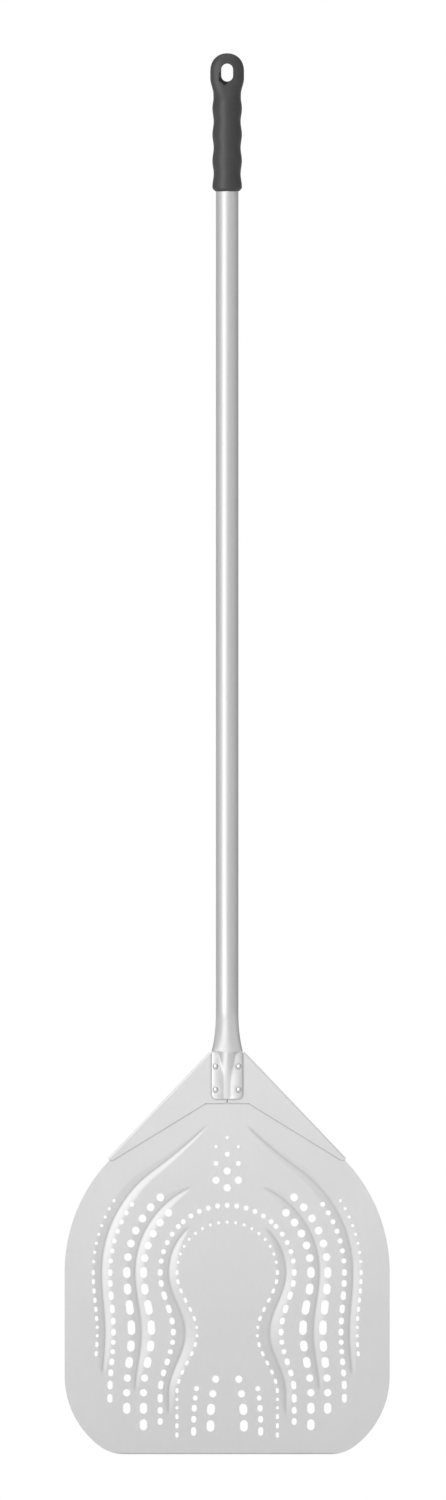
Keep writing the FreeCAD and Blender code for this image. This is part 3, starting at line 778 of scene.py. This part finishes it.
def foot_ring(z, count):
    """Points round the tube at a height; the back stays in the plane of the flaps."""
    half, ridge, crest = foot_half_width(z), ridge_half_width(z), ridge_height(z)
    flat = ease((FLARE_TOP - z) / (FLARE_TOP - FLARE_END))
    edge = TUBE_RADIUS + (LUG_THICKNESS / 2 - TUBE_RADIUS) * flat
    power = 2 + FOOT_SQUARENESS * flat**2
    swell = CREST_POWER + CREST_POWER_GAIN * ease((LUG_TOP_END - z) / LUG_TOP_RISE)
    points = []
    for i in range(count):
        turn = 2 * math.pi * i / count
        x = half * math.cos(turn)
        rim = (1 - min(abs(x) / half, 1.0) ** power) ** (1 / power)
        depth = edge * (1 - rim)
        if turn <= math.pi:
            lug = edge + (lug_height(x, z, half) - edge) * rim if edge < LUG_THICKNESS else 0.0
            across = max(1 - (x / ridge) ** 2, 0.0)
            raised = edge + (crest - edge) * across**swell
            depth = soft_max(raised, lug, RIDGE_BLEND) if lug and rim > 0.7 else max(raised, lug)
        points.append((x, FLAP_FRONT - depth, z))
    return points


def build_tube(material):
    """Round tube with its pressed foot; the foot's end shows the slit between the two walls."""
    count = 192
    heights = [TUBE_TOP, 1100.0, 700.0, FLARE_TOP + 20, FLARE_TOP]
    heights += list(np.arange(FLARE_TOP - 2, LUG_TOP_END + 4, -2.0))
    heights += list(np.arange(LUG_TOP_END + 3, FOOT_BOTTOM + FOOT_CORNER_RADIUS, -0.6))
    corner_shares = (0.9, 0.75, 0.6, 0.45, 0.3, 0.18, 0.08, 0.0)
    heights += [FOOT_BOTTOM + FOOT_CORNER_RADIUS * share for share in corner_shares]
    rings = [foot_ring(z, count) for z in heights]
    middle = FLAP_FRONT - LUG_THICKNESS / 2
    narrow = 1 - SLIT_INSET / foot_half_width(FOOT_BOTTOM)
    slit = [(x * narrow, middle + (y - middle) * SLIT_SHARE, z) for x, y, z in rings[-1]]
    deep = [(x, y, z + SLIT_DEPTH) for x, y, z in slit]
    rings += [slit, deep]
    last = (len(rings) - 1) * count
    piece = loft(rings, "handle_tube_skin", material)
    sharp = loop_pairs(0, count) + loop_pairs(last, count)
    sharp += loop_pairs(last - count, count) + loop_pairs(last - 2 * count, count)
    mark_sharp(piece.data, sharp)
    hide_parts("handle_tube")
    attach(piece, "root")
    return piece


# ---------------------------------------------------------------- rivets


def lathe(profile, count):
    """Rings about the Y axis from (radius, y) pairs, closed at both ends, as points and faces."""
    turns = [2 * math.pi * i / count for i in range(count)]
    points = [(r * math.cos(turn), y, r * math.sin(turn)) for r, y in profile for turn in turns]
    return points, [face[::-1] for face in ring_faces(len(profile), count)]


def build_rivets(material):
    """Four rivets: a low round head, the shank and a closed tail behind."""
    low, high = box_mm("rivets")
    head_plane = FLAP_FRONT - LUG_THICKNESS + RIVET_SINK
    head_steps, tail_steps, count, tuck = 10, 8, 40, 0.05
    profile = []
    for i in range(head_steps + 1):
        turn = math.pi / 2 * i / head_steps
        radius = max(RIVET_HEAD_RADIUS * math.sin(turn), RIVET_TIP_RADIUS)
        profile.append((radius, low.y + (head_plane - low.y) * (1 - math.cos(turn))))
    profile.append((RIVET_SHANK_RADIUS, head_plane + tuck))
    profile.append((RIVET_SHANK_RADIUS, SHEET_BACK - tuck))
    for i in range(tail_steps + 1):
        turn = math.pi / 2 * i / tail_steps
        radius = max(RIVET_TAIL_RADIUS * math.cos(turn), RIVET_TIP_RADIUS)
        profile.append((radius, SHEET_BACK + (high.y - SHEET_BACK) * math.sin(turn)))
    rims = [row * count for row in (head_steps, head_steps + 3)]
    points, faces = lathe(profile, count)
    placed_rivets = []
    for number, (x, z) in enumerate(RIVET_PLACES, 1):
        placed = [(px + x, y, pz + z) for px, y, pz in points]
        piece = make_object(f"rivet_{number}", placed, faces, [material])
        mark_sharp(piece.data, [pair for rim in rims for pair in loop_pairs(rim, count)])
        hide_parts("rivets")
        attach(piece, "root")
        placed_rivets.append(piece)
    return placed_rivets


# ---------------------------------------------------------------- grip


def blend(start, end, t):
    """Eases from one value to another."""
    return start + (end - start) * ease(t)


def lip_share(z):
    """How far the rounded lower lip is drawn in, from 1 at the mouth to 0 above the lip."""
    return (1 - min((z - GRIP_BOTTOM) / LIP_HEIGHT, 1.0)) ** LIP_POWER


def grip_half_width(z):
    """Half width of the grip: finger waves, a neck, and the round eye on top."""
    wave = WAVE_MEAN + WAVE_DEPTH * math.cos(2 * math.pi * (z - WAVE_PEAK) / WAVE_PITCH)
    eye = blend(NECK_HALF_WIDTH, EYE_HALF_WIDTH, (z - EYE_START) / EYE_RUN)
    width = blend(wave, eye, (z - NECK_START) / NECK_RUN)
    if z > EYE_CENTRE:
        t = (z - EYE_CENTRE) / (GRIP_TOP - EYE_CENTRE)
        width *= max(1 - t**2.3, 0) ** (1 / 2.1)
    return width - LIP_INSET * lip_share(z)


def grip_half_thickness(z):
    """Half thickness of the grip: round along the body, flatter at the eye."""
    thickness = blend(GRIP_HALF_THICKNESS, EYE_HALF_THICKNESS, (z - NECK_START) / THINNING_RUN)
    if z > EYE_CENTRE:
        t = (z - EYE_CENTRE) / (GRIP_TOP - EYE_CENTRE)
        thickness *= math.sqrt(max(1 - t**5, 0))
    return thickness - LIP_THINNING * lip_share(z)


def grip_ring(z, count):
    """Rounded oval round the grip at a height."""
    half, thick = grip_half_width(z), grip_half_thickness(z)
    square = blend(BODY_SQUARENESS, EYE_SQUARENESS, (z - SQUARE_START) / SQUARE_RUN)
    points = []
    for i in range(count):
        turn = 2 * math.pi * i / count
        c, s = math.cos(turn), math.sin(turn)
        x = half * math.copysign(abs(c) ** (2 / square), c)
        y = thick * math.copysign(abs(s) ** (2 / square), s)
        points.append((x, TUBE_AXIS + y, z))
    return points


def slot_cutter(material):
    """Solid that cuts the hanging slot through the eye."""
    loop = hole_loop((0, HANG_SLOT_CENTRE, HANG_SLOT_WIDTH, HANG_SLOT_LENGTH, 0.0), 0, 16)
    rings = [[(x, y, z) for x, z in loop] for y in (TUBE_AXIS + 30, TUBE_AXIS - 30)]
    return loft(rings, "slot_cutter", material)


def bevel_cutter(material):
    """Solid that cuts the slanting recess with a pointed lower end on the food side."""
    half, top = HANG_SLOT_WIDTH / 2, HANG_SLOT_LENGTH / 2
    upper, lower, past = top - 6, 5 - top, 1.0
    shape = [(half, upper), (0, top), (-half, upper), (-half, lower), (0, -top), (half, lower)]
    front = TUBE_AXIS - EYE_HALF_THICKNESS
    rings = []
    for y, share in ((front + HANG_BEVEL_DEPTH, 0.0), (front - past, 1.0 + past / HANG_BEVEL_DEPTH)):
        shift_x, shift_z = -HANG_BEVEL_SIDE * share, -HANG_BEVEL_DROP * share + HANG_SLOT_CENTRE
        rings.append([(x + shift_x, y, z + shift_z) for x, z in shape])
    return loft(rings, "bevel_cutter", material)


def bore_cutter(material):
    """Solid that opens the mouth of the grip round the tube."""
    rings = []
    turns = [2 * math.pi * i / 64 for i in range(64)]
    radius = TUBE_RADIUS + BORE_CLEARANCE
    for z in (GRIP_BOTTOM - 5, GRIP_BOTTOM + 40):
        rings.append([(radius * math.cos(a), TUBE_AXIS + radius * math.sin(a), z) for a in turns])
    return loft(rings, "bore_cutter", material)


def build_grip(material):
    """Moulded grip: lofted body, cut slot and mouth, then softened as a moulding is."""
    heights = list(GRIP_BOTTOM + LIP_HEIGHT * np.linspace(0, 1, 9) ** 1.3)
    heights += list(np.arange(GRIP_BOTTOM + LIP_HEIGHT + 1, EYE_CENTRE, 1.2))
    crown = np.sin(np.linspace(0, math.pi / 2, 26)) * 0.9995
    heights += list(EYE_CENTRE + (GRIP_TOP - EYE_CENTRE) * crown)
    body = loft([grip_ring(z, 96) for z in heights], "grip_moulding", material)
    cutters = [slot_cutter(material), bevel_cutter(material), bore_cutter(material)]
    for cutter in cutters:
        cut = body.modifiers.new("cut", "BOOLEAN")
        cut.operation = "DIFFERENCE"
        cut.solver = "EXACT"
        cut.object = cutter
    remesh = body.modifiers.new("remesh", "REMESH")
    remesh.mode = "VOXEL"
    remesh.voxel_size = GRIP_VOXEL * MM
    soften = body.modifiers.new("soften", "SMOOTH")
    soften.factor = 0.5
    soften.iterations = 2
    view = bpy.context.evaluated_depsgraph_get()
    final = bpy.data.meshes.new_from_object(body.evaluated_get(view))
    body.modifiers.clear()
    body.data = final
    final.polygons.foreach_set("use_smooth", [True] * len(final.polygons))
    for cutter in cutters:
        bpy.data.objects.remove(cutter)
    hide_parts("grip")
    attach(body, "root")
    return body


# ---------------------------------------------------------------- materials


def new_material(name):
    """Empty node material with its shader and output joined."""
    material = bpy.data.materials.new(name)
    material.use_nodes = True
    tree = material.node_tree
    tree.nodes.clear()
    output = tree.nodes.new("ShaderNodeOutputMaterial")
    shader = tree.nodes.new("ShaderNodeBsdfPrincipled")
    tree.links.new(shader.outputs["BSDF"], output.inputs["Surface"])
    return material, tree, shader


def noise(tree, scale, stretch=(1, 1, 1), detail=4.0, roughness=0.5):
    """Noise over the object's own space, in features per metre."""
    place = tree.nodes.new("ShaderNodeTexCoord")
    mapping = tree.nodes.new("ShaderNodeMapping")
    mapping.inputs["Scale"].default_value = stretch
    texture = tree.nodes.new("ShaderNodeTexNoise")
    texture.inputs["Scale"].default_value = scale
    texture.inputs["Detail"].default_value = detail
    texture.inputs["Roughness"].default_value = roughness
    tree.links.new(place.outputs["Object"], mapping.inputs["Vector"])
    tree.links.new(mapping.outputs["Vector"], texture.inputs["Vector"])
    return texture.outputs["Fac"]


def mapped(tree, value, source, target):
    """Maps a value from one range onto another and holds it there."""
    node = tree.nodes.new("ShaderNodeMapRange")
    for name, level in zip(("From Min", "From Max", "To Min", "To Max"), (*source, *target)):
        node.inputs[name].default_value = level
    tree.links.new(value, node.inputs["Value"])
    return node.outputs["Result"]


def spread(tree, value, low, high):
    """Maps a noise value round its middle onto a range."""
    return mapped(tree, value, (0.3, 0.7), (low, high))


def grey(tree, value):
    """A neutral colour from a value."""
    node = tree.nodes.new("ShaderNodeCombineColor")
    for channel in ("Red", "Green", "Blue"):
        tree.links.new(value, node.inputs[channel])
    return node.outputs["Color"]


def bump(tree, shader, value, distance, strength=1.0):
    """Raises the surface by a value, over a distance in metres."""
    node = tree.nodes.new("ShaderNodeBump")
    node.inputs["Distance"].default_value = distance
    node.inputs["Strength"].default_value = strength
    tree.links.new(value, node.inputs["Height"])
    tree.links.new(node.outputs["Normal"], shader.inputs["Normal"])


def added(tree, first, second, share):
    """first + second * share."""
    node = tree.nodes.new("ShaderNodeMath")
    node.operation = "MULTIPLY_ADD"
    node.inputs[1].default_value = share
    tree.links.new(second, node.inputs[0])
    tree.links.new(first, node.inputs[2])
    return node.outputs["Value"]


def calculated(tree, operation, *values):
    """Result of a math node on outputs or numbers."""
    node = tree.nodes.new("ShaderNodeMath")
    node.operation = operation
    for socket, value in zip(node.inputs, values):
        if isinstance(value, (int, float)):
            socket.default_value = value
        else:
            tree.links.new(value, socket)
    return node.outputs["Value"]


def painted_crevice_shade(tree, tone, reach, dark):
    """Paints shade into a tone where other surfaces stand within a reach in metres, by ambient
    occlusion.
    """
    shade = tree.nodes.new("ShaderNodeAmbientOcclusion")
    shade.samples = 8
    shade.inputs["Distance"].default_value = reach
    open_share = mapped(tree, shade.outputs["AO"], (0.35, 0.85), (dark, 1.0))
    return calculated(tree, "MULTIPLY", tone, open_share)


def blade_material():
    """Fine matt anodised sheet: a soft grain, a faint cloudiness, painted light that brightens it
    towards the top and a little to the left, painted shade in tight corners and gaps, and painted
    shade along the groove valleys.
    """
    material, tree, shader = new_material("anodised_sheet")
    grain = noise(tree, 900, (1, 1, 0.12), 5, 0.6)
    cloud = noise(tree, 14, (1, 1, 0.7), 3, 0.5)
    shader.inputs["Metallic"].default_value = 1.0
    tone = added(tree, spread(tree, cloud, 0.775, 0.795), spread(tree, grain, -1, 1), 0.012)
    # Painted light: the tone grows lighter towards the top and a little towards the left.
    place = tree.nodes.new("ShaderNodeTexCoord")
    painted_light_slant = tree.nodes.new("ShaderNodeVectorMath")
    painted_light_slant.operation = "DOT_PRODUCT"
    painted_light_slant.inputs[1].default_value = (-0.04, 0.0, 0.37)
    tree.links.new(place.outputs["Object"], painted_light_slant.inputs[0])
    tone = added(tree, tone, painted_light_slant.outputs["Value"], 1.0)
    # Painted shade where other surfaces stand close, at the hems, the foot and the rivets.
    tone = painted_crevice_shade(tree, tone, 0.003, 0.25)
    # Painted shade along the groove valleys.
    line = tree.nodes.new("ShaderNodeAttribute")
    line.attribute_name = "painted_valley_shade"
    shade = calculated(tree, "MULTIPLY_ADD", line.outputs["Fac"], -VALLEY_PAINTED_SHADE, 1.0)
    tone = calculated(tree, "MULTIPLY", tone, shade)
    tree.links.new(grey(tree, tone), shader.inputs["Base Color"])
    rough = added(tree, spread(tree, cloud, 0.36, 0.39), spread(tree, grain, -1, 1), 0.03)
    tree.links.new(rough, shader.inputs["Roughness"])
    bump(tree, shader, grain, 0.00002, 0.35)
    return material


def cut_edge_material():
    """Raw cut edges of the sheet: brighter, with fine lines along the cut."""
    material, tree, shader = new_material("cut_edge")
    lines = noise(tree, 1500, (1, 3, 1), 4, 0.6)
    shader.inputs["Metallic"].default_value = 1.0
    tree.links.new(grey(tree, spread(tree, lines, 0.80, 0.90)), shader.inputs["Base Color"])
    tree.links.new(spread(tree, lines, 0.28, 0.42), shader.inputs["Roughness"])
    bump(tree, shader, lines, 0.00002, 0.4)
    return material


def tube_material():
    """Satin anodised tube with fine drawn lines along it, painted shade in tight corners and gaps, and
    painted shade on faces turned to the right, the side the light does not reach.
    """
    material, tree, shader = new_material("satin_tube")
    lines = noise(tree, 1400, (1, 1, 0.01), 4, 0.6)
    cloud = noise(tree, 30, (1, 1, 0.15), 3, 0.5)
    shader.inputs["Metallic"].default_value = 1.0
    tone = added(tree, spread(tree, cloud, 0.745, 0.765), spread(tree, lines, -1, 1), 0.02)
    # Painted shade where other surfaces stand close.
    tone = painted_crevice_shade(tree, tone, 0.002, 0.55)
    # Painted shade on faces turned to the right, the side the light does not reach.
    facing = tree.nodes.new("ShaderNodeNewGeometry")
    split = tree.nodes.new("ShaderNodeSeparateXYZ")
    tree.links.new(facing.outputs["Normal"], split.inputs["Vector"])
    painted_right_shade = mapped(tree, split.outputs["X"], (0.6, 1.0), (1.0, 0.7))
    tone = calculated(tree, "MULTIPLY", tone, painted_right_shade)
    tree.links.new(grey(tree, tone), shader.inputs["Base Color"])
    rough = added(tree, spread(tree, cloud, 0.38, 0.42), spread(tree, lines, -1, 1), 0.03)
    tree.links.new(rough, shader.inputs["Roughness"])
    bump(tree, shader, lines, 0.00001, 0.3)
    return material


def rivet_material():
    """Bright aluminium rivet with light setting marks, painted shade in tight corners and gaps, and a
    painted dark rim of shade round the dome.
    """
    material, tree, shader = new_material("bright_rivet")
    marks = noise(tree, 700, (1, 1, 1), 3, 0.5)
    shader.inputs["Metallic"].default_value = 1.0
    # Painted shade where other surfaces stand close.
    tone = painted_crevice_shade(tree, spread(tree, marks, 0.80, 0.88), 0.003, 0.25)
    # Painted shade round the dome's rim, darkest where it turns edge-on.
    rim = tree.nodes.new("ShaderNodeLayerWeight")
    facing = mapped(tree, rim.outputs["Facing"], (0.2, 0.65), (1.0, 0.25))
    tone = calculated(tree, "MULTIPLY", tone, facing)
    tree.links.new(grey(tree, tone), shader.inputs["Base Color"])
    tree.links.new(spread(tree, marks, 0.18, 0.28), shader.inputs["Roughness"])
    bump(tree, shader, marks, 0.00003, 0.3)
    return material


def grip_material():
    """Black moulded plastic with a fine spark-eroded grain."""
    material, tree, shader = new_material("moulded_grip")
    grain = noise(tree, 2600, (1, 1, 1), 3, 0.6)
    cloud = noise(tree, 60, (1, 1, 1), 3, 0.5)
    tree.links.new(grey(tree, spread(tree, cloud, 0.032, 0.039)), shader.inputs["Base Color"])
    rough = added(tree, spread(tree, cloud, 0.42, 0.46), spread(tree, grain, -1, 1), 0.05)
    tree.links.new(rough, shader.inputs["Roughness"])
    shader.inputs["Specular IOR Level"].default_value = 0.5
    bump(tree, shader, grain, 0.00004, 0.5)
    return material


def floor_material():
    """Plain pale floor."""
    material, tree, shader = new_material("pale_floor")
    cloud = noise(tree, 2.0, (1, 1, 1), 2, 0.5)
    tree.links.new(grey(tree, spread(tree, cloud, 0.86, 0.88)), shader.inputs["Base Color"])
    shader.inputs["Roughness"].default_value = 0.8
    return material


# ---------------------------------------------------------------- stage, light and camera


def build_floor():
    """Wide pale floor under the front edge."""
    size = 60.0
    mesh = bpy.data.meshes.new("floor")
    corners = [(-size, -size, 0), (size, -size, 0), (size, size, 0), (-size, size, 0)]
    mesh.from_pydata(corners, [], [(0, 1, 2, 3)])
    mesh.materials.append(floor_material())
    floor = bpy.data.objects.new("floor", mesh)
    bpy.context.scene.collection.objects.link(floor)


def add_light(name, place, aim, size, power, lit):
    """Soft rectangular light on chosen pieces, aimed at a point and not seen by the camera."""
    light = bpy.data.lights.new(name, "AREA")
    light.shape = "RECTANGLE"
    light.size, light.size_y = size
    light.energy = power
    lamp = bpy.data.objects.new(name, light)
    lamp.location = place
    lamp.rotation_euler = (Vector(aim) - Vector(place)).to_track_quat("-Z", "Y").to_euler()
    lamp.visible_camera = False
    receivers = bpy.data.collections.new(name + "_receivers")
    for piece in lit:
        receivers.objects.link(piece)
    lamp.light_linking.receiver_collection = receivers
    bpy.context.scene.collection.objects.link(lamp)


def build_world():
    """White to the camera; what lights the peel is a wide soft studio, brightest at the front left."""
    world = bpy.data.worlds.new("studio")
    bpy.context.scene.world = world
    world.use_nodes = True
    tree = world.node_tree
    tree.nodes.clear()
    output = tree.nodes.new("ShaderNodeOutputWorld")
    seen = tree.nodes.new("ShaderNodeBackground")
    seen.inputs["Color"].default_value = (1, 1, 1, 1)
    lighting = tree.nodes.new("ShaderNodeBackground")
    place = tree.nodes.new("ShaderNodeTexCoord")
    split = tree.nodes.new("ShaderNodeSeparateXYZ")
    tree.links.new(place.outputs["Generated"], split.inputs["Vector"])
    forward = calculated(tree, "MULTIPLY", split.outputs["Y"], -1.0)
    azimuth = calculated(tree, "ARCTAN2", split.outputs["X"], forward)
    ramp = tree.nodes.new("ShaderNodeValToRGB")
    tree.links.new(calculated(tree, "MULTIPLY_ADD", azimuth, 0.5 / math.pi, 0.5), ramp.inputs["Fac"])
    stops = ramp.color_ramp.elements
    stops[0].position, stops[-1].position = 0.0, 1.0
    for angle, level in SURROUND:
        position = angle / 360 + 0.5
        edge = {0.0: stops[0], 1.0: stops[-1]}.get(position)
        stop = edge or stops.new(position)
        stop.color = (level, level, level, 1)
    tree.links.new(ramp.outputs["Color"], lighting.inputs["Color"])
    levels = (SURROUND_STRENGTH, SURROUND_STRENGTH * (1 + ZENITH_GAIN))
    strength = mapped(tree, split.outputs["Z"], (ZENITH_START, 1.0), levels)
    tree.links.new(strength, lighting.inputs["Strength"])
    path = tree.nodes.new("ShaderNodeLightPath")
    mix = tree.nodes.new("ShaderNodeMixShader")
    tree.links.new(path.outputs["Is Camera Ray"], mix.inputs["Fac"])
    tree.links.new(lighting.outputs["Background"], mix.inputs[1])
    tree.links.new(seen.outputs["Background"], mix.inputs[2])
    tree.links.new(mix.outputs["Shader"], output.inputs["Surface"])


def build_camera():
    """Straight-on long-lens view of the food side, with the handle upright."""
    data = bpy.data.cameras.new("camera")
    data.type = "ORTHO"
    data.ortho_scale = CAMERA_SCALE
    data.clip_end = 200.0
    camera = bpy.data.objects.new("camera", data)
    camera.location = CAMERA_PLACE
    camera.rotation_euler = (math.pi / 2, 0, 0)
    bpy.context.scene.collection.objects.link(camera)
    bpy.context.scene.camera = camera


pieces = {
    "blade": [build_blade([blade_material(), cut_edge_material()])],
    "handle_tube": [build_tube(tube_material())],
    "rivets": build_rivets(rivet_material()),
    "grip": [build_grip(grip_material())],
}
build_floor()
build_world()
for lamp_name, (place, aim, size, power, nodes) in LAMPS.items():
    add_light(lamp_name, place, aim, size, power, [piece for node in nodes for piece in pieces[node]])
build_camera()
bpy.context.scene.view_settings.view_transform = "Standard"
